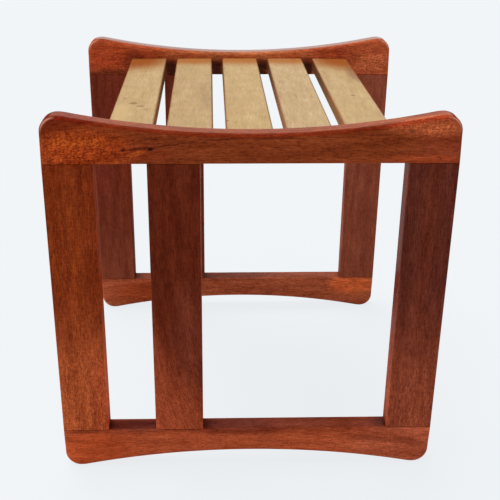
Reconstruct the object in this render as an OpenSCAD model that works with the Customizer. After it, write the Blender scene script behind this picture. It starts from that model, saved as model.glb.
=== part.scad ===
// Slatted bench: two flat side frames joined by five seat slats, in millimetres.
// The frames stand at the front and the back. Each is a top rail and a bottom rail with hollow-curved
// outer edges, two legs and one off-centre post between them, held by hidden dowels.
// X runs along the rails, Y from the front frame to the back frame, Z up.
// The origin is on the floor, under the middle of the bench.

/* [Overall size] */
// Length of the rails, which is the width of the bench
bench_w = 450; // [380:1:560]
// Depth of the bench over the outer faces of both frames
bench_d = 450; // [300:1:600]
// Length of the legs and posts, from the bottom rail to the top rail
upright_l = 340; // [150:1:500]

/* [Frames] */
// Thickness of every frame member, all of them flush
frame_t = 25; // [20:0.5:36]
// Width of a leg
leg_w = 55; // [40:0.5:70]
// Width of a middle post
post_w = 57.5; // [40:0.5:70]
// Clear gap between the left leg and the middle post
post_gap = 57.5; // [30:0.5:90]

/* [Rails] */
// Height of a rail at the crest near its ends
rail_end_h = 53; // [42:0.5:70]
// Depth of the hollow curve in a rail's outer edge
rail_sag = 20; // [10:0.5:25]
// Radius of a rail's outer corners
corner_r = 18.5; // [10:0.5:24]
// Length of the flat on a rail's crest, which is a foot on the bottom rails
crest_flat = 4; // [3:0.5:12]

/* [Seat slats] */
// Thickness of a slat
slat_t = 16; // [12:0.5:20]
// Gap between neighbouring slats
slat_gap = 14.5; // [8:0.5:24]
// Gap seen from above between an outer slat and the legs' inner edges
slat_side_gap = 9.5; // [4:0.5:20]

/* [Dowels] */
// Diameter of the dowels in the legs and posts
leg_dowel_d = 8; // [6:0.5:10]
// Length of a leg dowel inside the rail
leg_dowel_in_rail = 20; // [12:0.5:25]
// Length of a leg dowel inside the leg or post
leg_dowel_in_leg = 30; // [20:1:50]
// Distance from the edge of a leg or post to its dowel's axis
leg_dowel_inset = 14; // [9:0.5:17]
// Wood between a frame's outer face and the leg dowels' bores
leg_dowel_cover = 4.5; // [4:0.5:6]
// Diameter of the dowels in the slats' ends
slat_dowel_d = 6; // [5:0.5:8]
// Length of a slat dowel inside the slat
slat_dowel_in_slat = 20; // [12:1:40]
// Distance from the side of a slat to its dowel's axis
slat_dowel_inset = 12; // [7:0.5:15]
// Wood between a slat dowel's bore and the plane of the leg dowels' bores
slat_dowel_web = 1; // [0.5:0.1:1.5]
// Room between a dowel and the wall of its bore
dowel_clearance = 0.05; // [0.03:0.01:0.15]
// Room for glue between a dowel's end and the bottom of its bore
dowel_end_gap = 1; // [0.5:0.1:2]
// Chamfer on the ends of a dowel
dowel_chamfer = 0.8; // [0.3:0.1:1.5]

/* [Hidden] */
$fn = 96;

// Heights and depths that the members share
top_rail_z = rail_end_h + upright_l;
inner_y = bench_d / 2 - frame_t;

// Rail outline: the hollow curve is an arc that ends where the crests' flats begin
crest_x = bench_w / 2 - corner_r - crest_flat;
corner_z = rail_end_h - corner_r;
waist_h = rail_end_h - rail_sag;
curve_r = (pow(crest_x, 2) + pow(rail_sag, 2)) / (2 * rail_sag);
curve_sides = 720;

// Legs and posts, from left to right in both frames
upright_names = ["left_leg", "middle_post", "right_leg"];
upright_widths = [leg_w, post_w, leg_w];
upright_lefts = [-bench_w / 2, -bench_w / 2 + leg_w + post_gap, bench_w / 2 - leg_w];

// Slats, from left to right between the legs, with their middle at the middle of the rails' waist
slat_count = 5;
slat_span = bench_w - 2 * leg_w - 2 * slat_side_gap;
slat_w = (slat_span - (slat_count - 1) * slat_gap) / slat_count;
slat_z = top_rail_z + waist_h / 2;

// Dowels: the leg dowels lie towards the frames' outer faces, so that the slat dowels end clear of them
leg_bore_d = leg_dowel_d + 2 * dowel_clearance;
slat_bore_d = slat_dowel_d + 2 * dowel_clearance;
leg_dowel_y = bench_d / 2 - leg_dowel_cover - leg_bore_d / 2;
slat_dowel_in_rail = frame_t - leg_dowel_cover - leg_bore_d - slat_dowel_web - dowel_end_gap;

frame_sides = ["front", "back"];
slats = [1:slat_count];

frame_wood = [0.55, 0.25, 0.15];
slat_wood = [0.81, 0.69, 0.51];
dowel_wood = [0.85, 0.72, 0.52];

function slat_left(number) = -slat_span / 2 + (number - 1) * (slat_w + slat_gap);
function dowel_places(left, width, inset) = [left + inset, left + width - inset];
function leg_dowel_places() = [
    for (i = [0:len(upright_names) - 1])
        for (x = dowel_places(upright_lefts[i], upright_widths[i], leg_dowel_inset)) x
];
function slat_dowel_places(number) = dowel_places(slat_left(number), slat_w, slat_dowel_inset);

// Everything is drawn for the front, and mirrored for the back
module on_side(side) {
    mirror([0, side == "back" ? 1 : 0, 0]) children();
}

// A rail seen from the front, with its straight edge along the X axis and its hollow edge up
module rail_outline() {
    corner_x = bench_w / 2 - corner_r;
    difference() {
        union() {
            translate([-bench_w / 2, 0]) square([bench_w, corner_z]);
            translate([-corner_x, 0]) square([2 * corner_x, rail_end_h]);
            for (x = [-corner_x, corner_x]) translate([x, corner_z]) circle(corner_r);
        }
        translate([0, waist_h + curve_r]) circle(curve_r, $fn = curve_sides);
    }
}

// A rail in the front frame, with its straight edge on Z = 0 and its hollow edge up
module rail_blank() {
    translate([0, -inner_y, 0]) rotate([90, 0, 0]) linear_extrude(frame_t) rail_outline();
}

// The bores for the dowels of one end of every leg and post, going up from Z = 0
module leg_bores_up(depth) {
    for (x = leg_dowel_places())
        translate([x, -leg_dowel_y, 0]) cylinder(d = leg_bore_d, h = depth + dowel_end_gap);
}

// The bores for one slat's dowels in the front rail, going out from its inner face
module slat_bores_in_rail(number) {
    for (x = slat_dowel_places(number))
        translate([x, -inner_y, slat_z]) rotate([90, 0, 0])
            cylinder(d = slat_bore_d, h = slat_dowel_in_rail + dowel_end_gap);
}

module top_rail(side) {
    color(frame_wood) on_side(side) difference() {
        translate([0, 0, top_rail_z]) rail_blank();
        translate([0, 0, top_rail_z]) leg_bores_up(leg_dowel_in_rail);
        for (number = slats) slat_bores_in_rail(number);
    }
}

module bottom_rail(side) {
    color(frame_wood) on_side(side) translate([0, 0, rail_end_h]) mirror([0, 0, 1]) difference() {
        rail_blank();
        leg_bores_up(leg_dowel_in_rail);
    }
}

// A leg or post, bored at both ends
module upright(side, index) {
    left = upright_lefts[index];
    width = upright_widths[index];
    color(frame_wood) on_side(side) difference() {
        translate([left, -bench_d / 2, rail_end_h]) cube([width, frame_t, upright_l]);
        translate([0, 0, rail_end_h]) leg_bores_up(leg_dowel_in_leg);
        translate([0, 0, top_rail_z]) mirror([0, 0, 1]) leg_bores_up(leg_dowel_in_leg);
    }
}

module seat_slat(number) {
    color(slat_wood) difference() {
        translate([slat_left(number), -inner_y, slat_z - slat_t / 2]) cube([slat_w, 2 * inner_y, slat_t]);
        for (side = frame_sides) for (x = slat_dowel_places(number)) on_side(side)
            translate([x, -inner_y, slat_z]) rotate([-90, 0, 0])
                cylinder(d = slat_bore_d, h = slat_dowel_in_slat + dowel_end_gap);
    }
}

// A plain dowel with chamfered ends, along Z from -below to above
module dowel(diameter, below, above) {
    rotate_extrude() polygon([
        [0, -below], [diameter / 2 - dowel_chamfer, -below], [diameter / 2, -below + dowel_chamfer],
        [diameter / 2, above - dowel_chamfer], [diameter / 2 - dowel_chamfer, above], [0, above]
    ]);
}

// The four dowels of one leg or post: two at the bottom rail and two at the top rail
module upright_dowels(side, index) {
    color(dowel_wood) on_side(side)
        for (x = dowel_places(upright_lefts[index], upright_widths[index], leg_dowel_inset)) {
            translate([x, -leg_dowel_y, rail_end_h]) dowel(leg_dowel_d, leg_dowel_in_rail, leg_dowel_in_leg);
            translate([x, -leg_dowel_y, top_rail_z]) dowel(leg_dowel_d, leg_dowel_in_leg, leg_dowel_in_rail);
        }
}

// The four dowels of one slat: two at the front rail and two at the back rail
module slat_dowels(number) {
    color(dowel_wood) for (side = frame_sides) for (x = slat_dowel_places(number)) on_side(side)
        translate([x, -inner_y, slat_z]) rotate([-90, 0, 0])
            dowel(slat_dowel_d, slat_dowel_in_rail, slat_dowel_in_slat);
}

for (side = frame_sides) {
    top_rail(side);
    bottom_rail(side);
    for (i = [0:len(upright_names) - 1]) {
        upright(side, i);
        upright_dowels(side, i);
    }
}
for (number = slats) {
    seat_slat(number);
    slat_dowels(number);
}
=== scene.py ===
"""Kneeling bench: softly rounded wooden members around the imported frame, in metres."""
import math
from collections import namedtuple
from dataclasses import dataclass

import bmesh
import bpy
from mathutils import Matrix, Vector


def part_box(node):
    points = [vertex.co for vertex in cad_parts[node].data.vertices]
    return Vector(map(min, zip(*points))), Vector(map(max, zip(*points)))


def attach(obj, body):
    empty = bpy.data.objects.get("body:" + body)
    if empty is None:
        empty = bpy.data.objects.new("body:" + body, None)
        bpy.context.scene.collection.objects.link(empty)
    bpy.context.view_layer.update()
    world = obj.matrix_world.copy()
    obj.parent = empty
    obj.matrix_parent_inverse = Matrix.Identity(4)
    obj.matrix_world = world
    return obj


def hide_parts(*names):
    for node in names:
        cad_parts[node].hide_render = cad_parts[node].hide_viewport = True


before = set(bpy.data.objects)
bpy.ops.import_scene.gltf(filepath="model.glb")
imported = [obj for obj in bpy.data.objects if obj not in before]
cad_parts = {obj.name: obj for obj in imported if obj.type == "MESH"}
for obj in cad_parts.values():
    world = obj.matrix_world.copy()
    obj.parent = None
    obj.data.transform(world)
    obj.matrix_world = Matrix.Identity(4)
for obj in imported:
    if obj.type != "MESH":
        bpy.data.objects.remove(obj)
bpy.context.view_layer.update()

# Members and their names
UPRIGHTS = ("left_leg", "middle_post", "right_leg")
SLATS = range(1, 6)
BODY = "root"
FRAME_SEED_STEP = 10.0
SLAT_SEED_STEP = 7.0

# Rail outline, beyond what the frame's boxes give
RAIL_SAG = 0.020
CORNER_R = 0.0185
CREST_FLAT = 0.004
CREST_BLEND_R = 0.040

# Rounding of the arrises, and the small easing of the ends that butt together
ARRIS_R = 0.002
HOLLOW_R = 0.0045
SLAT_R = 0.003
JOINT_R = 0.0006
ARRIS_FLATNESS = 0.4

# The painted glint along a corner's arris: where it lies between the face and the wall, and its reach
GLINT_AT = 0.5
GLINT_REACH = 0.25

# Steps along the rounded stretches
ARRIS_STEPS = 6
SIDE_STEPS = 4
CORNER_STEPS = 16
BLEND_STEPS = 6
HOLLOW_STEPS = 44
SLAT_STEPS = 10
SHARP_ANGLE = math.radians(32)
SAME_POINT = 1e-6

# Camera, fitted to the photograph's edges; its picture is square
PICTURE = 500
FOCAL_PIXELS = 893.5
MIDDLE_COLUMN = 233.05
SENSOR_MM = 36.0
CAMERA_AT = (-0.0439, -1.1364, 0.6966)
CAMERA_YAW = 0.0268
CAMERA_PITCH = 0.4171
CAMERA_ROLL = 0.0051

# Light
BACKDROP = (242, 246, 249)
SKY_DIM = 0.12
SKY_BRIGHT = 0.50
SKY_FROM = (-0.70, -0.70, 0.0)
BACKDROP_FROM = (0.30, 0.95, 0.0)
BACKDROP_EDGE = (0.68, 0.88)
SUN_LEVEL = 0.66
SUN_SPREAD = math.radians(45)
SUN_FROM = (-0.25, 0.25, 1.0)
FLOOR_GLOW = 0.88
FLOOR_ROUGH = 0.9
FLOOR_HALF = 12.0


def linear(red, green, blue):
    """A colour written in the usual 0 to 255 steps, as the linear colour that shaders take."""
    def one(step):
        share = step / 255
        return share / 12.92 if share <= 0.04045 else ((share + 0.055) / 1.055) ** 2.4
    return (one(red), one(green), one(blue), 1.0)


def smooth(share):
    """Eases 0..1 at both ends."""
    return share * share * (3 - 2 * share)


# Shapes
# A column is one point of a member's outline, seen from the front. Its arris takes the outline inwards by
# the shift and the depth at the face. Joint is 1 where another member butts against it, and corner is 1 in
# the middle of a rounded corner.
Column = namedtuple("Column", "x z shift_x shift_z depth joint corner", defaults=(0, 0))
# A ring is one step of the arris from the face to the wall: its shares of the shift and the depth, how near
# the middle of the arris it is, which sets its wear, and its share of the painted glint line.
Ring = namedtuple("Ring", "shift depth wear rim")


def arris_rings():
    """The steps of an arris, which lies between a quarter round and a chamfer."""
    rings = []
    for step in range(ARRIS_STEPS + 1):
        share = step / ARRIS_STEPS
        turn = math.pi / 2 * share
        shift = (1 - math.sin(turn)) * (1 - ARRIS_FLATNESS) + (1 - share) * ARRIS_FLATNESS
        depth = (1 - math.cos(turn)) * (1 - ARRIS_FLATNESS) + share * ARRIS_FLATNESS
        rim = max(0.0, 1 - abs(share - GLINT_AT) / GLINT_REACH)
        rings.append(Ring(shift, depth, math.sin(2 * turn), rim))
    return rings


def add_band(mesh, ring, following):
    """Faces between two rings of the same length."""
    for i in range(len(ring)):
        j = (i + 1) % len(ring)
        mesh.faces.new((ring[i], ring[j], following[j], following[i]))


def finish_piece(name, mesh, material, node):
    """Closes a piece up, shades it smooth with flat faces kept flat, and puts it in its node's place."""
    bmesh.ops.remove_doubles(mesh, verts=mesh.verts, dist=SAME_POINT)
    bmesh.ops.dissolve_degenerate(mesh, edges=mesh.edges, dist=SAME_POINT)
    bmesh.ops.recalc_face_normals(mesh, faces=mesh.faces)
    for face in mesh.faces:
        face.smooth = True
    for edge in mesh.edges:
        edge.smooth = edge.calc_face_angle(math.pi) < SHARP_ANGLE
    data = bpy.data.meshes.new(name)
    mesh.to_mesh(data)
    mesh.free()
    data.materials.append(material)
    piece = bpy.data.objects.new(name, data)
    bpy.context.collection.objects.link(piece)
    flat = piece.modifiers.new("flat_faces", "WEIGHTED_NORMAL")
    flat.keep_sharp = True
    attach(piece, BODY)
    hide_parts(node)
    return piece


def flat_member(node, columns, material):
    """A member of a side frame, flat on both faces, with its arrises rounded as its columns say."""
    low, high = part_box(node)
    mesh = bmesh.new()
    arris_wear_and_shade = mesh.verts.layers.float.new("arris_wear_and_shade")
    joint = mesh.verts.layers.float.new("joint")
    painted_glint = mesh.verts.layers.float.new("painted_glint")

    def ring(face_y, inwards, step):
        made = []
        for column in columns:
            point = mesh.verts.new((
                column.x + column.shift_x * step.shift,
                face_y + inwards * column.depth * step.depth,
                column.z + column.shift_z * step.shift,
            ))
            point[arris_wear_and_shade] = step.wear * (1 - column.joint)
            point[joint] = step.depth * column.joint
            point[painted_glint] = step.rim * column.corner
            made.append(point)
        return made

    front = [ring(low.y, 1, step) for step in arris_rings()]
    back = [ring(high.y, -1, step) for step in arris_rings()]
    rings = front + back[::-1]
    for ring_now, ring_next in zip(rings, rings[1:]):
        add_band(mesh, ring_now, ring_next)
    mesh.faces.new(rings[0])
    mesh.faces.new(rings[-1])
    return finish_piece(node + "_wood", mesh, material, node)


def edge_column(x, rise, normal, radius, corner=0.0):
    """A column of a rail's outer edge, with its arris turned along the edge's normal."""
    return Column(x, rise, -normal[0] * radius, -normal[1] * radius, radius, corner=corner)


def rail_outer_edge(half, height):
    """A rail's side, corner and hollow from right to left, with heights from its straight edge."""
    crest_x = half - CORNER_R - CREST_FLAT
    curve_r = (crest_x ** 2 + RAIL_SAG ** 2) / (2 * RAIL_SAG)
    blend_x = math.sqrt(crest_x ** 2 + 2 * RAIL_SAG * CREST_BLEND_R)
    steepest = math.asin(blend_x / (curve_r + CREST_BLEND_R))
    right = []
    for step in range(1, SIDE_STEPS):
        share = step / SIDE_STEPS
        radius = ARRIS_R + (HOLLOW_R - ARRIS_R) * smooth(share)
        right.append(edge_column(half, (height - CORNER_R) * share, (1, 0), radius))
    for step in range(CORNER_STEPS + 1):
        turn = math.pi / 2 * step / CORNER_STEPS
        normal = (math.cos(turn), math.sin(turn))
        x = half - CORNER_R * (1 - normal[0])
        rise = height - CORNER_R * (1 - normal[1])
        right.append(edge_column(x, rise, normal, HOLLOW_R, math.sin(2 * turn)))
    for step in range(BLEND_STEPS):
        turn = steepest * step / BLEND_STEPS
        normal = (-math.sin(turn), math.cos(turn))
        x = blend_x + CREST_BLEND_R * normal[0]
        right.append(edge_column(x, height - CREST_BLEND_R * (1 - normal[1]), normal, HOLLOW_R))
    hollow = []
    for step in range(HOLLOW_STEPS + 1):
        turn = steepest * (1 - 2 * step / HOLLOW_STEPS)
        normal = (-math.sin(turn), math.cos(turn))
        rise = height - RAIL_SAG + curve_r * (1 - normal[1])
        hollow.append(edge_column(-curve_r * normal[0], rise, normal, HOLLOW_R))
    left = [column._replace(x=-column.x, shift_x=-column.shift_x) for column in reversed(right)]
    return right + hollow + left


def rail_joint(left, right, half):
    """The stretch of a rail's straight edge that an upright meets, with the window corners beside it."""
    stretch = []
    if left > -half + ARRIS_R:
        stretch.append(Column(left, 0, ARRIS_R, ARRIS_R, ARRIS_R))
    stretch.append(Column(left, 0, ARRIS_R, JOINT_R, ARRIS_R))
    stretch.append(Column(left + ARRIS_R, 0, 0, JOINT_R, JOINT_R, 1))
    stretch.append(Column(right - ARRIS_R, 0, 0, JOINT_R, JOINT_R, 1))
    stretch.append(Column(right, 0, -ARRIS_R, JOINT_R, ARRIS_R))
    if right < half - ARRIS_R:
        stretch.append(Column(right, 0, -ARRIS_R, ARRIS_R, ARRIS_R))
    return stretch


def make_rail(side, kind, material):
    """A top or bottom rail: straight where the uprights meet it, hollow on its outer edge."""
    node = f"{side}_{kind}_rail"
    low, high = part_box(node)
    half = high.x
    columns = []
    for name in UPRIGHTS:
        upright_low, upright_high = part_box(f"{side}_{name}")
        columns += rail_joint(upright_low.x, upright_high.x, half)
    columns += rail_outer_edge(half, high.z - low.z)
    straight_z, up = (low.z, 1) if kind == "top" else (high.z, -1)
    columns = [c._replace(z=straight_z + up * c.z, shift_z=up * c.shift_z) for c in columns]
    return flat_member(node, columns, material)


def make_upright(side, name, material):
    """A leg or post, with rounded long arrises and plain ends that butt against the rails."""
    node = f"{side}_{name}"
    low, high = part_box(node)
    columns = []
    for z, ease, ends in ((low.z, JOINT_R, (low.x, high.x)), (high.z, -JOINT_R, (high.x, low.x))):
        inwards = ARRIS_R if ends[0] < ends[1] else -ARRIS_R
        columns.append(Column(ends[0], z, inwards, ease, ARRIS_R))
        columns.append(Column(ends[0] + inwards, z, 0, ease, JOINT_R, 1))
        columns.append(Column(ends[1] - inwards, z, 0, ease, JOINT_R, 1))
        columns.append(Column(ends[1], z, -inwards, ease, ARRIS_R))
    return flat_member(node, columns, material)


def make_slat(number, material):
    """A seat slat between the top rails, with its four long arrises rounded."""
    node = f"seat_slat_{number}"
    low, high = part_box(node)
    mesh = bmesh.new()
    arris_wear_and_shade = mesh.verts.layers.float.new("arris_wear_and_shade")
    section = []
    for x, z, start in (
        (high.x - SLAT_R, high.z - SLAT_R, 0), (low.x + SLAT_R, high.z - SLAT_R, 1),
        (low.x + SLAT_R, low.z + SLAT_R, 2), (high.x - SLAT_R, low.z + SLAT_R, 3),
    ):
        for step in range(ARRIS_STEPS + 1):
            share = step / ARRIS_STEPS
            turn = math.pi / 2 * (start + share)
            # The middle of each arris takes the painted shade of the slat's edges
            wear = math.sin(math.pi * share)
            section.append((x + SLAT_R * math.cos(turn), z + SLAT_R * math.sin(turn), wear))
    rings = []
    for step in range(SLAT_STEPS + 1):
        y = low.y + (high.y - low.y) * step / SLAT_STEPS
        ring = []
        for x, z, wear in section:
            point = mesh.verts.new((x, y, z))
            point[arris_wear_and_shade] = wear
            ring.append(point)
        rings.append(ring)
    for ring_now, ring_next in zip(rings, rings[1:]):
        add_band(mesh, ring_now, ring_next)
    mesh.faces.new(rings[0])
    mesh.faces.new(rings[-1])
    return finish_piece(node + "_wood", mesh, material, node)


# Shader building blocks
# A pattern is a noise drawn out along the grain: how far, its scale, and how fine and rough its detail is.
Pattern = namedtuple("Pattern", "stretch scale detail rough")
# A wander bends coordinates: the scale of the noise that bends them, and its reach.
Wander = namedtuple("Wander", "scale reach")
# A tint darkens a colour where a pattern is low and lightens it where it is high, over a width to either
# side of its middle.
Tint = namedtuple("Tint", "width dark light")
# A relief is a bump's strength and depth.
Relief = namedtuple("Relief", "strength depth")
# A mark is a soft local patch of another tone, and a patch only says where something shows. Tilt turns
# them in the plane of the side frames.
Mark = namedtuple("Mark", "at size colour share tilt", defaults=(0.0,))
Patch = namedtuple("Patch", "at size share tilt", defaults=(0.0,))

WHITE = (1, 1, 1, 1)
NOISE_MIDDLE = 0.5
MARK_HEART = 0.35
COAT_ROUGHNESS = 0.22
ROUGH_RANGE = (0.3, 0.7)


def add(tree, kind, inputs=None, **settings):
    """A node with its settings; each input is a value, or another node's output to link."""
    made = tree.nodes.new(kind)
    for key, value in settings.items():
        setattr(made, key, value)
    for key, value in (inputs or {}).items():
        if isinstance(value, bpy.types.NodeSocket):
            tree.links.new(value, made.inputs[key])
        else:
            made.inputs[key].default_value = value
    return made


def maths(tree, operation, first, second=0.0, third=0.0):
    return add(tree, "ShaderNodeMath", {0: first, 1: second, 2: third}, operation=operation).outputs[0]


def vectors(tree, operation, *inputs):
    return add(tree, "ShaderNodeVectorMath", dict(enumerate(inputs)), operation=operation).outputs[0]


def part(tree, vector, axis):
    """One coordinate of a vector."""
    return add(tree, "ShaderNodeSeparateXYZ", {0: vector}).outputs[axis]


def mix(tree, share, first, second, blend="MIX"):
    """Colours mixed by a share; sockets 6 and 7 are the node's colour inputs."""
    made = add(tree, "ShaderNodeMix", {0: share, 6: first, 7: second}, data_type="RGBA", blend_type=blend)
    return made.outputs[2]


def spread(tree, value, low, high, to_low=0.0, to_high=1.0):
    """A value eased from one range to another, and held at the ends."""
    made = add(tree, "ShaderNodeMapRange", {
        "Value": value, "From Min": low, "From Max": high, "To Min": to_low, "To Max": to_high,
    }, interpolation_type="SMOOTHSTEP")
    return made.outputs["Result"]


def noise(tree, place, scale, seed, detail=2.0, rough=0.5):
    return add(tree, "ShaderNodeTexNoise", {
        "Vector": place, "Scale": scale, "W": seed, "Detail": detail, "Roughness": rough,
    }, noise_dimensions="4D")


def bent(tree, place, seed, wander):
    """Coordinates that wander by up to about half the reach."""
    way = noise(tree, place, wander.scale, seed).outputs["Color"]
    centred = vectors(tree, "SUBTRACT", way, (NOISE_MIDDLE,) * 3)
    return vectors(tree, "MULTIPLY_ADD", centred, (wander.reach,) * 3, place)


def pattern(tree, place, grain, seed, kind):
    """A pattern's value, on coordinates squeezed across the grain, so that it gets long along it."""
    scale = [1.0 if axis == grain else kind.stretch for axis in "xyz"]
    squeezed = vectors(tree, "MULTIPLY", place, scale)
    return noise(tree, squeezed, kind.scale, seed, kind.detail, kind.rough).outputs["Fac"]


def tinted(tree, colour, value, tint, strength=1.0):
    """The colour darkened where a pattern is low and lightened where it is high."""
    share = spread(tree, value, NOISE_MIDDLE - tint.width, NOISE_MIDDLE + tint.width)
    return mix(tree, strength, colour, mix(tree, share, tint.dark, tint.light), "MULTIPLY")


def mark_share(tree, place, mark):
    """A mark's whole share at its heart, easing to 0 at its rim."""
    mapped = add(tree, "ShaderNodeMapping", {
        "Vector": place, "Location": mark.at, "Rotation": (0, mark.tilt, 0), "Scale": mark.size,
    }, vector_type="TEXTURE")
    reach = add(tree, "ShaderNodeVectorMath", {0: mapped.outputs[0]}, operation="LENGTH").outputs["Value"]
    return spread(tree, reach, MARK_HEART, 1.0, mark.share, 0.0)


def with_marks(tree, place, colour, marks):
    for mark in marks:
        colour = mix(tree, mark_share(tree, place, mark), colour, linear(*mark.colour))
    return colour


def facing(tree, axis):
    """How far the surface faces along an axis, from -1 to 1."""
    return part(tree, add(tree, "ShaderNodeNewGeometry").outputs["Normal"], axis)


def attribute(tree, name):
    return add(tree, "ShaderNodeAttribute", attribute_name=name).outputs["Fac"]


def object_place(tree):
    return add(tree, "ShaderNodeTexCoord").outputs["Object"]


def new_material(name):
    material = bpy.data.materials.new(name)
    material.use_nodes = True
    return material, material.node_tree, material.node_tree.nodes["Principled BSDF"]


def surface(tree, shader, colour, rough, height, relief):
    """Links a wood's colour, roughness and relief to its shader."""
    bump = add(tree, "ShaderNodeBump", {
        "Height": height, "Strength": relief.strength, "Distance": relief.depth,
    })
    tree.links.new(colour, shader.inputs["Base Color"])
    tree.links.new(rough, shader.inputs["Roughness"])
    tree.links.new(bump.outputs["Normal"], shader.inputs["Normal"])


def coat(tree, shader, gloss):
    """Gives a shader a coat of oil or varnish, which has all of its gloss."""
    tree.links.new(gloss, shader.inputs["Coat Weight"])
    shader.inputs["Coat Roughness"].default_value = COAT_ROUGHNESS
    shader.inputs["Specular IOR Level"].default_value = 0.0


# Wood of the frame: its patterns, and the tints that they give
BANDS = Pattern(9, 11, 4, 0.65)
CLOUDS = Pattern(2.2, 48, 3, 0.6)
FIBRE = Pattern(10, 85, 4, 0.68)
DASHES = Pattern(6, 170, 1, 0.5)
FLECKS = Pattern(1.7, 430, 2, 0.6)
RIPPLE = Pattern(3.5, 120, 2, 0.6)
MOTTLE = Pattern(2.2, 190, 2, 0.6)
GRAIN_WANDER = Wander(12, 0.005)
MARK_WANDER = Wander(60, 0.004)
MARK_FRAY = 0.02
BAND_TINT = Tint(0.20, (0.80, 0.74, 0.68, 1), (1.20, 1.26, 1.22, 1))
CLOUD_TINT = Tint(0.20, (0.92, 0.88, 0.85, 1), (1.08, 1.10, 1.08, 1))
MOTTLE_TINT = Tint(0.22, (0.74, 0.64, 0.58, 1), (1.26, 1.34, 1.28, 1))
FIBRE_TINT = Tint(0.22, (0.64, 0.54, 0.48, 1), (1.36, 1.44, 1.34, 1))
FLECK_DARK = (0.66, 0.55, 0.50, 1)
FLECK_LIGHT = (1.50, 1.76, 1.56, 1)
FLECK_RANGE = (0.45, 0.56)
FLECK_RIPPLE = 0.35
PORE_TINT = (0.50, 0.40, 0.36, 1)
PORE_RANGE = (0.55, 0.66)
PORE_SHARE = 0.75

# Dark joints; and painted light and shade: a painted reflection on the front top rail's top, painted shade
# on the bottom rails' tops and on sloping arrises, and a painted glint along the corners' arrises
JOINT_TINT = (0.30, 0.24, 0.22, 1)
LOW_TOP_PAINTED_SHADE = (0.68, 0.72, 0.92, 1)
SLOPE_PAINTED_SHADE = (0.94, 0.61, 0.61, 1)
TOP_PAINTED_REFLECTION = (1.34, 1.40, 1.00, 1)
PAINTED_GLINT = (244, 176, 146)
PAINTED_GLINT_SHARE = 0.9

# How far a surface faces along an axis, from where such a face's look begins to where it is whole
UPWARD = (0.90, 0.975)
SLOPING = (0.10, 0.45)
INWARD = (-0.5, -0.9)
SIDEWAYS = (0.5, 0.9)

# Painted shade in crevices, by how open they are, and the heights from which it shows
CREVICE_SHADE_TINT = (0.17, 0.14, 0.13, 1)
CREVICE_SHADE_REACH = 0.040
CREVICE_SHADE_SAMPLES = 8
CREVICE_SHADE_HEIGHTS = (0.042, 0.051)
DEEP_CREVICE = (0.15, 0.50)
SHALLOW_CREVICE = (0.30, 0.95)

# Gloss and relief of the frame's wood, and the heights of its foot's tone and its grain's sweep
FRAME_ROUGH = (0.55, 0.42)
WORN_ROUGH = -0.08
PORE_ROUGH = 0.2
SHEEN_SWING = 0.3
FIBRE_RELIEF = 0.5
FRAME_RELIEF = Relief(0.25, 0.0004)
FOOT_HEIGHTS = (0.08, 0.26)
SWEEP_HIGH = 0.24

# A lean tilts the boundary between an upright's foot tone and its own tone about a place on X.
Lean = namedtuple("Lean", "slope about")
# The patterns of one member's wood, and the frayed coordinates that its marks lie in
Wood = namedtuple("Wood", "bands clouds fibre mottle pores curl frayed")


@dataclass
class Look:
    """The tones, marks and gloss of one member of the frame."""
    tone: tuple
    # Tone of the foot, where it differs: partly the wood's own tone, partly painted light from the floor;
    # and the lean of the boundary between the two
    foot: tuple = None
    lean: Lean = Lean(0.0, 0.0)
    # Marks of other tones, and patches with bright flecks
    marks: tuple = ()
    flecked: tuple = ()
    # How the grain rises at the left of the bench, and sweeps to the right at the foot
    rise: float = 0.0
    sweep: float = 0.0
    # How strongly the fibres and pores show, and the mottle across them
    figure: float = 1.0
    mottled: float = 0.3
    # Gloss of the faces, and what is added to it on the sides and on the top
    sheen: float = 0.06
    side_sheen: float = 0.05
    polish: float = 0.0
    # Painted light on the sides towards the middle of the bench; painted reflection on a top rail's top and
    # painted shade on a bottom rail's top; painted shade on the sloping arris in front of the top
    inner_painted_light: float = 1.0
    top_painted_light: tuple = WHITE
    slope_painted_shade: tuple = WHITE
    # Share of painted shade in shallow crevices
    shallow: float = 0.55


def grain_place(tree, place, look):
    """Coordinates that follow the grain's rise at the left of the bench, and its sweep at the foot."""
    left = maths(tree, "MINIMUM", part(tree, place, "X"), 0.0)
    low = maths(tree, "MINIMUM", maths(tree, "SUBTRACT", part(tree, place, "Z"), SWEEP_HIGH), 0.0)
    shift = add(tree, "ShaderNodeCombineXYZ", {
        "X": maths(tree, "MULTIPLY", maths(tree, "MULTIPLY", low, low), -look.sweep),
        "Z": maths(tree, "MULTIPLY", maths(tree, "MULTIPLY", left, left), look.rise),
    })
    return vectors(tree, "ADD", place, shift.outputs[0])


def feathered(tree, place, grain, streaks):
    """Coordinates pushed along the grain by its streaks, so that the rim of a mark frays into them."""
    axis = [MARK_FRAY if letter == grain else 0.0 for letter in "xyz"]
    share = maths(tree, "SUBTRACT", streaks, NOISE_MIDDLE)
    push = add(tree, "ShaderNodeVectorMath", {0: axis, "Scale": share}, operation="SCALE")
    return vectors(tree, "ADD", place, push.outputs[0])


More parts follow.
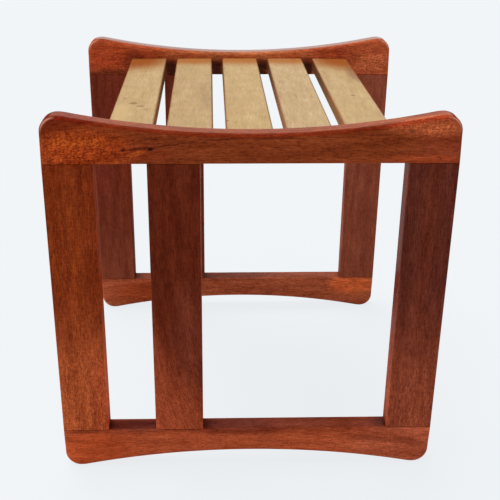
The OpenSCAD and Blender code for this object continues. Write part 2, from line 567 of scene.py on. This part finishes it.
def wood_patterns(tree, grain, seed, look):
    """The patterns of a member's wood; the mottle runs across its grain, and the flecks' ripple upright."""
    place = object_place(tree)
    wavy = bent(tree, grain_place(tree, place, look), seed, GRAIN_WANDER)
    across = "x" if grain == "z" else "z"
    fibre = pattern(tree, wavy, grain, seed + 4, FIBRE)
    flecks = pattern(tree, wavy, grain, seed + 6, FLECKS)
    ripple = maths(tree, "MULTIPLY", pattern(tree, wavy, "z", seed + 7, RIPPLE), FLECK_RIPPLE)
    return Wood(
        bands=pattern(tree, wavy, grain, seed + 1, BANDS),
        clouds=pattern(tree, wavy, grain, seed + 2, CLOUDS),
        fibre=fibre,
        mottle=pattern(tree, wavy, across, seed + 8, MOTTLE),
        pores=spread(tree, pattern(tree, wavy, grain, seed + 5, DASHES), *PORE_RANGE),
        curl=maths(tree, "MULTIPLY_ADD", flecks, 1 - FLECK_RIPPLE, ripple),
        frayed=feathered(tree, bent(tree, place, seed + 3, MARK_WANDER), grain, fibre),
    )


def toned(tree, wood, look):
    """A member's own tone, its foot's tone below a leaning boundary, and its marks."""
    across = maths(tree, "SUBTRACT", part(tree, wood.frayed, "X"), look.lean.about)
    height = maths(tree, "MULTIPLY_ADD", across, look.lean.slope, part(tree, wood.frayed, "Z"))
    foot = linear(*(look.foot or look.tone))
    colour = mix(tree, spread(tree, height, *FOOT_HEIGHTS), foot, linear(*look.tone))
    return with_marks(tree, wood.frayed, colour, look.marks)


def figured(tree, colour, wood, look):
    """The colour with bands, clouds, mottle, fibres, patches of bright flecks, and small dark pores."""
    colour = tinted(tree, colour, wood.bands, BAND_TINT)
    colour = tinted(tree, colour, wood.clouds, CLOUD_TINT)
    colour = tinted(tree, colour, wood.mottle, MOTTLE_TINT, look.mottled)
    colour = tinted(tree, colour, wood.fibre, FIBRE_TINT, look.figure)
    bright = mix(tree, spread(tree, wood.curl, *FLECK_RANGE), FLECK_DARK, FLECK_LIGHT)
    for patch in look.flecked:
        colour = mix(tree, mark_share(tree, wood.frayed, patch), colour, bright, "MULTIPLY")
    share = maths(tree, "MULTIPLY", wood.pores, PORE_SHARE * look.figure)
    return mix(tree, share, colour, PORE_TINT, "MULTIPLY")


def faced(tree, colour, wood, look):
    """The colour with dark joints, and painted light and shade: a glint along the corners, and faces that
    look up, slope or look inwards.
    """
    colour = mix(tree, attribute(tree, "joint"), colour, JOINT_TINT, "MULTIPLY")
    climb = facing(tree, "Z")
    upward = spread(tree, climb, *UPWARD)
    sloping = maths(tree, "SUBTRACT", spread(tree, climb, *SLOPING), upward)
    colour = mix(tree, maths(tree, "MAXIMUM", sloping, 0.0), colour, look.slope_painted_shade, "MULTIPLY")
    colour = mix(tree, upward, colour, look.top_painted_light, "MULTIPLY")
    outward = maths(tree, "MULTIPLY", facing(tree, "X"), maths(tree, "SIGN", part(tree, wood.frayed, "X")))
    inward = spread(tree, outward, *INWARD)
    colour = mix(tree, inward, colour, (look.inner_painted_light,) * 3 + (1,), "MULTIPLY")
    # Painted glint: a pale line along the arris of each rounded corner
    painted_glint = maths(tree, "MULTIPLY", attribute(tree, "painted_glint"), PAINTED_GLINT_SHARE)
    return mix(tree, painted_glint, colour, linear(*PAINTED_GLINT))


def crevice_shaded(tree, colour, shallow):
    """The colour with painted shade in deep crevices, some in shallow ones, and none beside the floor."""
    crevices = add(tree, "ShaderNodeAmbientOcclusion", {"Distance": CREVICE_SHADE_REACH}, samples=CREVICE_SHADE_SAMPLES)
    openness = crevices.outputs["AO"]
    deep = spread(tree, openness, *DEEP_CREVICE, 1.0, 0.0)
    crevice_shade = maths(tree, "MAXIMUM", deep, spread(tree, openness, *SHALLOW_CREVICE, shallow, 0.0))
    height = part(tree, object_place(tree), "Z")
    share = maths(tree, "MULTIPLY", crevice_shade, spread(tree, height, *CREVICE_SHADE_HEIGHTS))
    return mix(tree, share, colour, CREVICE_SHADE_TINT, "MULTIPLY")


def oiled(tree, shader, colour, wood, look):
    """Oil that is dull in the pores, smooth on handled arrises, and glossier on the sides and the top."""
    height = maths(tree, "SUBTRACT", maths(tree, "MULTIPLY", wood.fibre, FIBRE_RELIEF), wood.pores)
    handled = maths(tree, "MULTIPLY", attribute(tree, "arris_wear_and_shade"), WORN_ROUGH)
    dull = maths(tree, "MULTIPLY_ADD", wood.pores, PORE_ROUGH, handled)
    rough = maths(tree, "ADD", spread(tree, wood.bands, *ROUGH_RANGE, *FRAME_ROUGH), dull)
    surface(tree, shader, colour, rough, height, FRAME_RELIEF)
    least = (1 - SHEEN_SWING) * look.sheen
    most = (1 + SHEEN_SWING) * look.sheen
    gloss = spread(tree, wood.bands, *ROUGH_RANGE, least, most)
    beside = spread(tree, maths(tree, "ABSOLUTE", facing(tree, "X")), *SIDEWAYS)
    gloss = maths(tree, "MULTIPLY_ADD", beside, look.side_sheen, gloss)
    upward = spread(tree, facing(tree, "Z"), *UPWARD)
    coat(tree, shader, maths(tree, "MULTIPLY_ADD", upward, look.polish, gloss))


def frame_wood(name, grain, seed, look):
    """Oiled red-brown hardwood, as one member's look has it."""
    material, tree, shader = new_material(name)
    wood = wood_patterns(tree, grain, seed, look)
    colour = toned(tree, wood, look)
    colour = figured(tree, colour, wood, look)
    colour = faced(tree, colour, wood, look)
    colour = crevice_shaded(tree, colour, look.shallow)
    oiled(tree, shader, colour, wood, look)
    return material


# Wood of the slats
SLAT_STREAKS = Pattern(10, 14, 4, 0.6)
SLAT_CLOUDS = Pattern(1, 40, 3, 0.5)
SLAT_SPECKS = Pattern(15, 50, 4, 0.65)
SLAT_DASHES = Pattern(4, 260, 1, 0.5)
SLAT_GRAIN_WANDER = Wander(8, 0.010)
SLAT_MARK_WANDER = Wander(140, 0.006)
SLAT_SPECK_SHARE = 0.6
SLAT_TONE = (208, 174, 122)
SLAT_PALE = (222, 191, 140)
SLAT_TAN = (190, 151, 98)
# Painted shade along the slats' arrises
SLAT_EDGE_SHADE = (168, 108, 68)
SLAT_TAN_RANGE = (0.36, 0.50)
SLAT_PALE_RANGE = (0.50, 0.64)
SLAT_CLOUD_TINT = Tint(0.2, (0.96, 0.93, 0.88, 1), (1.04, 1.04, 1.02, 1))
SLAT_PORE_RANGE = (0.58, 0.72)
SLAT_PORE_SHARE = 0.10
SLAT_UPWARD = (0.50, 0.95)
# Painted shade: browner slat sides, darker towards the back rail
SLAT_EDGE_SHADE_SHARE = 0.5
SLAT_SIDE_SHADE = (0.81, 0.62, 0.60, 1)
SLAT_BACK_SHADE_TINT = (0.40, 0.37, 0.42, 1)
SLAT_BACK_SHADE_DEPTHS = (-0.14, 0.18)
SLAT_ROUGH = (0.55, 0.70)
SLAT_GLOSS = 0.25
SLAT_RELIEF = Relief(0.12, 0.0003)
SPECK_RELIEF = 0.4
PORE_RELIEF = 0.5


def slat_sides(tree, colour, upward):
    """The colour with painted shade: browner arrises, and browner sides that darken towards the back rail.
    """
    beside = maths(tree, "SUBTRACT", 1.0, upward)
    colour = mix(tree, beside, colour, SLAT_SIDE_SHADE, "MULTIPLY")
    arris_wear_and_shade = maths(tree, "MULTIPLY", attribute(tree, "arris_wear_and_shade"), SLAT_EDGE_SHADE_SHARE)
    colour = mix(tree, arris_wear_and_shade, colour, linear(*SLAT_EDGE_SHADE))
    backward = spread(tree, part(tree, object_place(tree), "Y"), *SLAT_BACK_SHADE_DEPTHS)
    return mix(tree, maths(tree, "MULTIPLY", beside, backward), colour, SLAT_BACK_SHADE_TINT, "MULTIPLY")


def slat_wood(name, seed, shade, marks):
    """Pale hardwood, varnished on top, with faint streaks, fine specks and the marks of one slat."""
    material, tree, shader = new_material(name)
    place = object_place(tree)
    streaks = pattern(tree, bent(tree, place, seed, SLAT_GRAIN_WANDER), "y", seed + 1, SLAT_STREAKS)
    clouds = pattern(tree, place, "y", seed + 2, SLAT_CLOUDS)
    specks = pattern(tree, place, "y", seed + 4, SLAT_SPECKS)
    pores = spread(tree, pattern(tree, place, "y", seed + 5, SLAT_DASHES), *SLAT_PORE_RANGE)
    upward = spread(tree, facing(tree, "Z"), *SLAT_UPWARD)

    streaks = maths(tree, "MULTIPLY", streaks, 1 - SLAT_SPECK_SHARE)
    grain = maths(tree, "MULTIPLY_ADD", specks, SLAT_SPECK_SHARE, streaks)
    colour = mix(tree, spread(tree, grain, *SLAT_TAN_RANGE), linear(*SLAT_TAN), linear(*SLAT_TONE))
    colour = mix(tree, spread(tree, grain, *SLAT_PALE_RANGE), colour, linear(*SLAT_PALE))
    colour = tinted(tree, colour, clouds, SLAT_CLOUD_TINT)
    colour = mix(tree, 1.0, colour, shade, "MULTIPLY")
    colour = with_marks(tree, bent(tree, place, seed + 3, SLAT_MARK_WANDER), colour, marks)
    colour = mix(tree, maths(tree, "MULTIPLY", pores, SLAT_PORE_SHARE), colour, PORE_TINT, "MULTIPLY")
    colour = slat_sides(tree, colour, upward)

    rough = spread(tree, clouds, *ROUGH_RANGE, *SLAT_ROUGH)
    pits = maths(tree, "MULTIPLY", pores, PORE_RELIEF)
    height = maths(tree, "SUBTRACT", maths(tree, "MULTIPLY", specks, SPECK_RELIEF), pits)
    surface(tree, shader, colour, rough, height, SLAT_RELIEF)
    coat(tree, shader, maths(tree, "MULTIPLY", upward, SLAT_GLOSS))
    return material


# Wood of the dowels
DOWEL_FLECKS = Pattern(1, 600, 3, 0.6)
DOWEL_SEED = 21
DOWEL_RANGE = (0.35, 0.65)
DOWEL_ROUGH = (0.5, 0.7)
DOWEL_RELIEF = Relief(0.2, 0.0003)


def dowel_wood(name):
    """Bare pale hardwood for the dowels inside the joints."""
    material, tree, shader = new_material(name)
    flecks = pattern(tree, object_place(tree), "z", DOWEL_SEED, DOWEL_FLECKS)
    colour = mix(tree, spread(tree, flecks, *DOWEL_RANGE), linear(*SLAT_TAN), linear(*SLAT_PALE))
    rough = spread(tree, flecks, *ROUGH_RANGE, *DOWEL_ROUGH)
    surface(tree, shader, colour, rough, flecks, DOWEL_RELIEF)
    return material


# Looks of the frame's members; a mark goes through its member, or is only so deep in its face
THROUGH = 1.0
SKIN = 0.006
FACE_DEEP = 0.011
FRONT_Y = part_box("front_top_rail")[0].y
INNER_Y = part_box("back_top_rail")[0].y
SLAT_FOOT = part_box("seat_slat_1")[0].z
LOW_RAIL_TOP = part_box("front_bottom_rail")[1].z
ORANGE = (178, 65, 23)
AMBER = (200, 92, 34)
RUSSET = (140, 49, 23)
DEEP = (84, 28, 14)
KNOT = (40, 14, 8)
# Painted shade in the gaps between the slats, on the top rails' inner faces
GAP_SHADE = (66, 32, 22)
COPPER = (206, 97, 63)
GAP_SHADOW_SIZE = (0.015, SKIN, 0.022)
GAP_SHADOW_DROP = 0.002


def gap_shadows(y):
    """Painted shade of the gaps between the slats, on the inner face of a top rail."""
    shadows = []
    for number in SLATS[:-1]:
        x = (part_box(f"seat_slat_{number}")[1].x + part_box(f"seat_slat_{number + 1}")[0].x) / 2
        shadows.append(Mark((x, y, SLAT_FOOT - GAP_SHADOW_DROP), GAP_SHADOW_SIZE, GAP_SHADE, 0.95))
    return tuple(shadows)


FRAME_LOOKS = {
    "front_top_rail": Look(
        tone=(148, 66, 34),
        figure=0.95,
        rise=0.4,
        polish=0.34,
        top_painted_light=TOP_PAINTED_REFLECTION,
        slope_painted_shade=SLOPE_PAINTED_SHADE,
        marks=(
            *gap_shadows(-INNER_Y),
            Mark((-0.182, FRONT_Y, 0.409), (0.080, THROUGH, 0.034), ORANGE, 0.74),
            Mark((-0.185, FRONT_Y, 0.418), (0.060, THROUGH, 0.008), AMBER, 0.3),
            Mark((-0.198, FRONT_Y, 0.440), (0.060, THROUGH, 0.013), RUSSET, 0.75, -0.17),
            # Painted shade: a dark rim on the right corner, where the top turns away
            Mark((0.2195, FRONT_Y + 0.012, 0.4405), (0.012, 0.010, 0.012), DEEP, 0.8),
            Mark((-0.118, FRONT_Y, 0.404), (0.045, THROUGH, 0.012), RUSSET, 0.6),
            Mark((-0.121, FRONT_Y, 0.4055), (0.015, THROUGH, 0.004), AMBER, 0.5, -0.30),
            Mark((-0.122, FRONT_Y, 0.4105), (0.018, THROUGH, 0.0018), DEEP, 0.8, -0.12),
            Mark((-0.136, FRONT_Y, 0.409), (0.004, THROUGH, 0.003), KNOT, 0.8),
            Mark((-0.108, FRONT_Y, 0.410), (0.0045, THROUGH, 0.003), KNOT, 1.0),
            Mark((-0.082, FRONT_Y, 0.4150), (0.032, THROUGH, 0.0012), DEEP, 0.7, -0.18),
            Mark((-0.030, FRONT_Y, 0.4205), (0.030, THROUGH, 0.0012), DEEP, 0.6, -0.05),
            Mark((0.025, FRONT_Y, 0.4215), (0.040, THROUGH, 0.0022), DEEP, 0.6),
            Mark((0.212, FRONT_Y, 0.412), (0.050, THROUGH, 0.060), (155, 66, 42), 0.8),
            Mark((0.185, FRONT_Y, 0.440), (0.062, FACE_DEEP, 0.021), (210, 104, 68), 0.85),
            Mark((0.170, FRONT_Y, 0.429), (0.004, THROUGH, 0.003), KNOT, 0.6),
            Mark((0.185, FRONT_Y, 0.398), (0.060, THROUGH, 0.007), (192, 84, 48), 0.7),
        ),
        flecked=(
            Patch((-0.184, FRONT_Y, 0.408), (0.088, THROUGH, 0.036), 0.8),
            Patch((0.185, FRONT_Y, 0.433), (0.062, FACE_DEEP, 0.017), 0.6),
        ),
    ),
    "front_bottom_rail": Look(
        tone=COPPER,
        figure=0.8,
        polish=0.10,
        top_painted_light=LOW_TOP_PAINTED_SHADE,
        shallow=0.7,
        marks=(
            # Painted shade on the top face under the seat, darkest as a painted shadow beside the right leg
            Mark((0.060, FRONT_Y, LOW_RAIL_TOP), (0.135, SKIN, 0.012), (146, 60, 38), 0.35),
            Mark((-0.010, FRONT_Y, LOW_RAIL_TOP), (0.080, SKIN, 0.012), (136, 56, 36), 0.8),
            Mark((-0.020, FRONT_Y + 0.012, LOW_RAIL_TOP), (0.085, 0.018, 0.012), (168, 78, 56), 0.9),
            Mark((-0.141, FRONT_Y + 0.011, LOW_RAIL_TOP), (0.060, 0.018, 0.012), (126, 55, 44), 0.9),
            Mark((0.177, FRONT_Y + 0.013, LOW_RAIL_TOP), (0.034, 0.018, 0.012), (50, 22, 26), 0.95),
            Mark((-0.190, FRONT_Y, 0.025), (0.070, THROUGH, 0.040), (206, 87, 46), 0.7),
            Mark((0.185, FRONT_Y, 0.030), (0.080, THROUGH, 0.050), (210, 108, 82), 0.6),
            Mark((0.200, FRONT_Y, 0.032), (0.034, THROUGH, 0.008), (150, 66, 46), 0.5, 0.35),
            Mark((0.160, FRONT_Y, 0.036), (0.060, THROUGH, 0.005), (140, 60, 42), 0.4, 0.15),
            Mark((-0.197, FRONT_Y, 0.051), (0.035, THROUGH, 0.004), DEEP, 0.45),
            Mark((-0.080, FRONT_Y, 0.052), (0.040, THROUGH, 0.003), DEEP, 0.35),
        ),
        flecked=(Patch((0.180, FRONT_Y, 0.028), (0.070, THROUGH, 0.034), 0.2),),
    ),
    "front_left_leg": Look(
        tone=(139, 54, 22),
        foot=(197, 95, 57),
        inner_painted_light=1.65,
        side_sheen=0.03,
        figure=0.9,
        mottled=0.6,
        marks=(
            Mark((-0.196, FRONT_Y, 0.300), (0.012, THROUGH, 0.170), AMBER, 0.15),
            Mark((-0.216, FRONT_Y, 0.310), (0.012, THROUGH, 0.120), AMBER, 0.12),
            Mark((-0.178, FRONT_Y, 0.090), (0.016, THROUGH, 0.090), (184, 78, 50), 0.6),
        ),
        flecked=(Patch((-0.198, FRONT_Y, 0.090), (0.060, THROUGH, 0.130), 0.35),),
    ),
    "front_middle_post": Look(
        tone=(109, 41, 22),
        foot=(193, 89, 60),
        lean=Lean(1.5, -0.120),
        inner_painted_light=2.0,
        side_sheen=0.25,
        sweep=1.0,
        figure=0.8,
        marks=(Mark((-0.066, FRONT_Y, 0.185), (0.034, THROUGH, 0.090), (136, 62, 45), 0.6),),
        flecked=(Patch((-0.084, FRONT_Y, 0.080), (0.060, THROUGH, 0.110), 0.35),),
    ),
    "front_right_leg": Look(
        tone=(108, 47, 36),
        foot=(164, 78, 56),
        inner_painted_light=1.9,
        side_sheen=0.13,
        figure=0.85,
        sheen=0.08,
        marks=(
            Mark((0.176, FRONT_Y, 0.300), (0.011, THROUGH, 0.170), (92, 38, 26), 0.6),
            Mark((0.197, FRONT_Y, 0.290), (0.012, THROUGH, 0.160), (126, 54, 36), 0.6),
        ),
        flecked=(Patch((0.198, FRONT_Y, 0.090), (0.060, THROUGH, 0.130), 0.35),),
    ),
    "back_top_rail": Look(
        tone=COPPER,
        polish=0.94,
        # Painted reflection: a top tinted paler than the face
        top_painted_light=(0.70, 1.00, 0.86, 1),
        shallow=0.0,
        marks=(
            Mark((0.000, INNER_Y, 0.424), (0.160, SKIN, 0.012), (232, 138, 92), 0.75),
            *gap_shadows(INNER_Y),
            Mark((-0.196, INNER_Y, 0.420), (0.050, THROUGH, 0.030), (199, 79, 45), 0.9),
            # Painted shade: below the slats at the left end, and beside slat 1
            Mark((-0.190, INNER_Y, 0.391), (0.070, SKIN, 0.015), (112, 46, 28), 0.85),
            Mark((-0.158, INNER_Y, 0.412), (0.028, SKIN, 0.024), (124, 48, 32), 0.6),
            Mark((0.200, INNER_Y, 0.410), (0.035, THROUGH, 0.020), (212, 112, 76), 0.6),
        ),
        flecked=(
            Patch((-0.190, INNER_Y, 0.415), (0.060, THROUGH, 0.030), 0.35),
            Patch((0.195, INNER_Y, 0.412), (0.050, THROUGH, 0.028), 0.5),
        ),
    ),
    "back_bottom_rail": Look(
        tone=(195, 100, 70),
        figure=0.95,
        polish=0.10,
        top_painted_light=LOW_TOP_PAINTED_SHADE,
        shallow=0.7,
        marks=(
            # Painted shade on the top face, under the seat
            Mark((0.000, INNER_Y + 0.012, LOW_RAIL_TOP), (0.095, 0.018, 0.012), (152, 79, 55), 0.9),
            Mark((0.190, INNER_Y, 0.040), (0.055, THROUGH, 0.022), (252, 124, 73), 0.9),
            Mark((-0.150, INNER_Y, 0.030), (0.080, THROUGH, 0.030), (173, 73, 36), 0.85),
        ),
    ),
    "back_left_leg": Look(tone=(130, 54, 37), foot=(140, 67, 48), figure=0.5),
    "back_middle_post": Look(tone=(130, 57, 39), figure=0.5),
    "back_right_leg": Look(tone=(160, 83, 63), figure=0.5),
}

# Looks of the slats. Their ends have a painted reflection of the rails and painted shade, more of it on the
# outer ones, beside the higher ends of the rails.
EndShade = namedtuple("EndShade", "size colour share")
OUTER_END_SHADE = EndShade((0.082, 0.108, THROUGH), (168, 88, 34), 0.95)
INNER_END_SHADE = EndShade((0.080, 0.062, THROUGH), (184, 98, 22), 0.70)
FRONT_END_SHADE = 0.4
SLAT_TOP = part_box("seat_slat_1")[1].z
SLAT_SHADES = {
    1: (1.00, 1.00, 1.00, 1),
    2: (0.95, 0.94, 0.95, 1),
    3: (1.00, 1.00, 0.98, 1),
    4: (1.02, 1.04, 1.15, 1),
    5: (1.00, 1.00, 1.01, 1),
}
SLAT_MARKS = {
    1: (
        Mark((-0.150, -0.110, SLAT_TOP), (0.016, 0.060, THROUGH), (224, 190, 128), 0.7),
        Mark((-0.151, -0.038, SLAT_TOP), (0.003, 0.005, THROUGH), (156, 116, 66), 0.6),
        Mark((-0.122, -0.090, SLAT_TOP), (0.004, 0.003, THROUGH), (156, 116, 66), 0.5),
        Mark((-0.138, -0.062, SLAT_TOP), (0.007, 0.008, THROUGH), (146, 106, 52), 0.7),
        Mark((-0.128, -0.076, SLAT_TOP), (0.007, 0.006, THROUGH), (150, 112, 58), 0.6),
    ),
    2: (Mark((-0.049, -0.045, SLAT_TOP), (0.008, 0.060, THROUGH), (168, 138, 100), 0.45),),
    3: (Mark((-0.024, -0.141, SLAT_TOP), (0.003, 0.004, THROUGH), (120, 72, 44), 0.8),),
    4: (),
    5: (
        # Painted reflection and shade at the back end of its outer edge
        Mark((0.160, 0.100, SLAT_TOP), (0.020, 0.070, THROUGH), (150, 90, 52), 0.7),
        Mark((0.137, -0.026, SLAT_TOP), (0.004, 0.003, THROUGH), (120, 72, 44), 0.8),
    ),
}


def painted_end_shades(number):
    """Painted reflection of the rails and painted shade in both ends of a slat, less of it at the front."""
    low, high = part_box(f"seat_slat_{number}")
    if number == SLATS[0]:
        x, end_shade = low.x, OUTER_END_SHADE
    elif number == SLATS[-1]:
        x, end_shade = high.x, OUTER_END_SHADE
    else:
        x, end_shade = (low.x + high.x) / 2, INNER_END_SHADE
    width, length, depth = end_shade.size
    return (
        Mark((x, high.y, SLAT_TOP), end_shade.size, end_shade.colour, end_shade.share),
        Mark((x, low.y, SLAT_TOP), (width, length * FRONT_END_SHADE, depth), end_shade.colour, end_shade.share),
    )


# Bench, floor, light and camera
def make_bench():
    """Every member in a wood of its own, and all the dowels in a plain one."""
    for index, (node, look) in enumerate(FRAME_LOOKS.items()):
        side, name = node.split("_", 1)
        seed = FRAME_SEED_STEP * index
        if name.endswith("_rail"):
            make_rail(side, name.removesuffix("_rail"), frame_wood(node + "_look", "x", seed, look))
        else:
            make_upright(side, name, frame_wood(node + "_look", "z", seed, look))
    for number in SLATS:
        marks = painted_end_shades(number) + SLAT_MARKS[number]
        seed = SLAT_SEED_STEP * number
        make_slat(number, slat_wood(f"seat_slat_{number}_look", seed, SLAT_SHADES[number], marks))
    plain = dowel_wood("dowel_look")
    for name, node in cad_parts.items():
        if name.endswith("_dowels"):
            node.data.materials.clear()
            node.data.materials.append(plain)


def make_floor():
    """A plain pale floor, which keeps the bench's shadow."""
    mesh = bmesh.new()
    bmesh.ops.create_grid(mesh, x_segments=1, y_segments=1, size=FLOOR_HALF)
    data = bpy.data.meshes.new("floor")
    mesh.to_mesh(data)
    mesh.free()
    material, tree, shader = new_material("floor_look")
    shader.inputs["Base Color"].default_value = linear(*BACKDROP)
    shader.inputs["Roughness"].default_value = FLOOR_ROUGH
    shader.inputs["Specular IOR Level"].default_value = 0.0
    glow = add(tree, "ShaderNodeEmission", {"Color": linear(*BACKDROP), "Strength": 1.0})
    share = maths(tree, "MULTIPLY", add(tree, "ShaderNodeLightPath").outputs["Is Camera Ray"], FLOOR_GLOW)
    both = add(tree, "ShaderNodeMixShader", {0: share, 1: shader.outputs[0], 2: glow.outputs[0]})
    tree.links.new(both.outputs[0], tree.nodes["Material Output"].inputs["Surface"])
    data.materials.append(material)
    floor = bpy.data.objects.new("floor", data)
    bpy.context.collection.objects.link(floor)


def towards(tree, direction, aim):
    """How far a direction points along an aim, from -1 to 1."""
    product = add(tree, "ShaderNodeVectorMath", {0: direction, 1: aim}, operation="DOT_PRODUCT")
    return product.outputs["Value"]


def make_light():
    """Soft light from above, a wide dim fill from the front left, and a pale backdrop behind the bench."""
    world = bpy.data.worlds.new("studio")
    bpy.context.scene.world = world
    world.use_nodes = True
    tree = world.node_tree
    tree.nodes.clear()
    direction = add(tree, "ShaderNodeTexCoord").outputs["Generated"]
    level = spread(tree, towards(tree, direction, SKY_FROM), -1.0, 1.0, SKY_DIM, SKY_BRIGHT)
    hangs = spread(tree, towards(tree, direction, BACKDROP_FROM), *BACKDROP_EDGE)
    rays = add(tree, "ShaderNodeLightPath").outputs
    mirrored = maths(tree, "MULTIPLY", rays["Is Glossy Ray"], hangs)
    direct = maths(tree, "MAXIMUM", rays["Is Camera Ray"], rays["Is Transmission Ray"])
    share = maths(tree, "MAXIMUM", direct, mirrored)
    soft = add(tree, "ShaderNodeBackground", {"Color": WHITE, "Strength": level})
    seen = add(tree, "ShaderNodeBackground", {"Color": linear(*BACKDROP), "Strength": 1.0})
    both = add(tree, "ShaderNodeMixShader", {0: share, 1: soft.outputs[0], 2: seen.outputs[0]})
    add(tree, "ShaderNodeOutputWorld", {"Surface": both.outputs[0]})

    sun = bpy.data.lights.new("overhead", "SUN")
    sun.energy = SUN_LEVEL * math.pi
    sun.angle = SUN_SPREAD
    lamp = bpy.data.objects.new("overhead", sun)
    lamp.rotation_euler = Vector(SUN_FROM).to_track_quat("Z", "Y").to_euler()
    bpy.context.collection.objects.link(lamp)


def make_camera():
    """The photograph's viewpoint: turned, tilted down and rolled from looking along +Y."""
    data = bpy.data.cameras.new("camera")
    data.sensor_width = SENSOR_MM
    data.lens = data.sensor_width * FOCAL_PIXELS / PICTURE
    data.shift_x = (PICTURE / 2 - MIDDLE_COLUMN) / PICTURE
    camera = bpy.data.objects.new("camera", data)
    turn = Matrix.Rotation(-CAMERA_YAW, 4, "Z")
    tilt = Matrix.Rotation(math.pi / 2 - CAMERA_PITCH, 4, "X")
    roll = Matrix.Rotation(CAMERA_ROLL, 4, "Z")
    camera.matrix_world = Matrix.Translation(CAMERA_AT) @ turn @ tilt @ roll
    bpy.context.collection.objects.link(camera)
    bpy.context.scene.camera = camera


make_bench()
make_floor()
make_light()
make_camera()
bpy.context.scene.view_settings.view_transform = "Standard"
